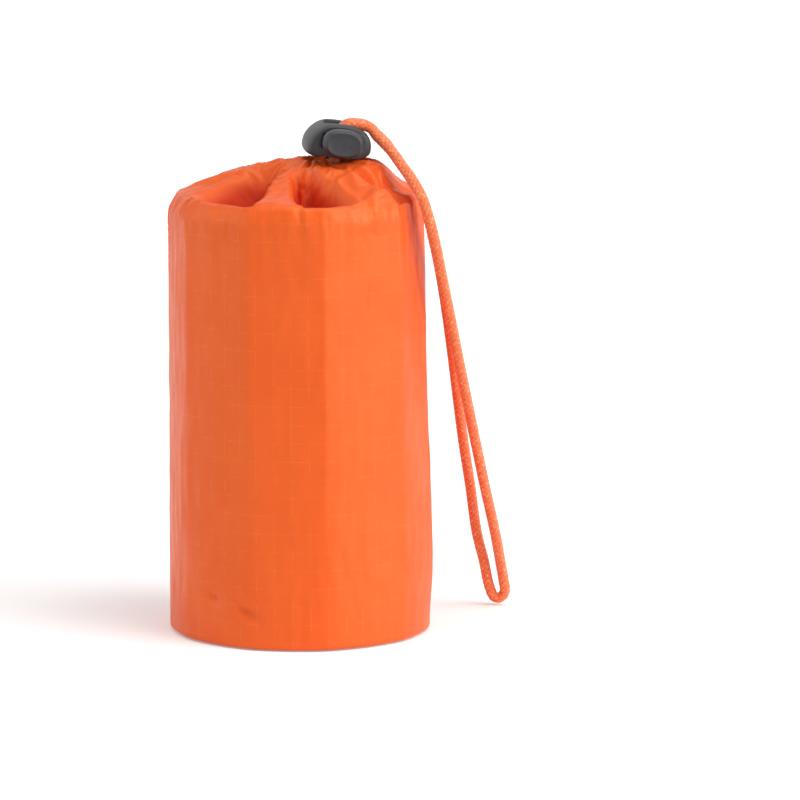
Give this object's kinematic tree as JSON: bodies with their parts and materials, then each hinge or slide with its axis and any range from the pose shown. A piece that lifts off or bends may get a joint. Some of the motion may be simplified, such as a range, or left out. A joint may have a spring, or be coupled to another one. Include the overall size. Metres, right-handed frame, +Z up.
{
  "type": "emergency tube tent in a drawstring sack",
  "caption": "Rolled film tube tent packed in an upright ripstop drawstring sack, its gathered mouth held shut by a spring cord lock.",
  "frame": {"origin": "centre of the sack's round base, on the floor", "axes": "+Z up along the sack, -Y towards the front, +X to the right, where the cord's free loop hangs"},
  "size_m": [0.0944, 0.072, 0.1412],
  "materials": {
    "ripstop": "coated ripstop, soft sheen",
    "binding_tape": "woven tape",
    "tent_film": "folded plastic film, glossy",
    "cord": "braided",
    "lock_plastic": "satin, moulded",
    "button_plastic": "satin, moulded",
    "spring_steel": "drawn wire"
  },
  "bodies": {
    "packed_tent": {"side_panel": "ripstop", "base_panel": "ripstop", "base_seam_binding": "binding_tape", "side_seam_binding": "binding_tape", "tent_film_roll": "tent_film", "drawcord": "cord", "drawcord_loop": "cord", "lock_body": "lock_plastic", "lock_spring": "spring_steel"},
    "plunger": {"lock_plunger": "button_plastic"}
  },
  "joints": [
    {"name": "plunger_press", "type": "slide", "parent": "packed_tent", "child": "plunger", "axis": [-0.1564, 0.9877, 0], "range_m": [0, 0.002], "stiffness_N_per_m": 1500, "springref_m": -0.002, "deforming": ["lock_spring"]}
  ]
}
